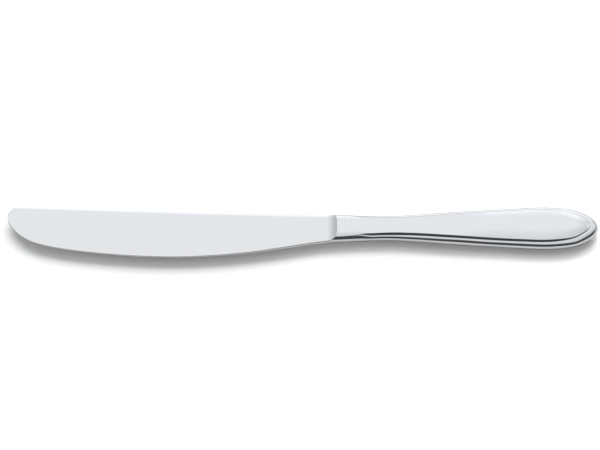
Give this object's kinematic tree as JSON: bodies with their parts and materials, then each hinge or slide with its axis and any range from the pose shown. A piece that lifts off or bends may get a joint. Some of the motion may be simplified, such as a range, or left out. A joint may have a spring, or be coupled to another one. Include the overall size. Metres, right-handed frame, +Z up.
{
  "type": "table knife",
  "caption": "Table knife with a broad round-ended blade, a hollow-ground bolster and a hollow drop-ended handle with a raised panel inside a rounded border.",
  "frame": {"origin": "middle of the knife's box on the surface that it lies on, with the knife lying on its side", "axes": "+X along the knife from the tip to the butt, +Y from the cutting edge to the back of the blade, +Z up through the thickness"},
  "size_m": [0.2354, 0.0222, 0.0085],
  "materials": {
    "blade_steel": "mirror-polished hardened stainless steel",
    "handle_steel": "mirror-polished stainless steel sheet",
    "braze": "braze metal polished flush with the steel",
    "filler": "set handle cement, out of sight"
  },
  "bodies": {
    "root": {"blade": "blade_steel", "bolster_braze": "braze", "handle_shell_upper": "handle_steel", "handle_shell_lower": "handle_steel", "handle_seam_braze": "braze", "handle_filler": "filler"}
  },
  "joints": []
}
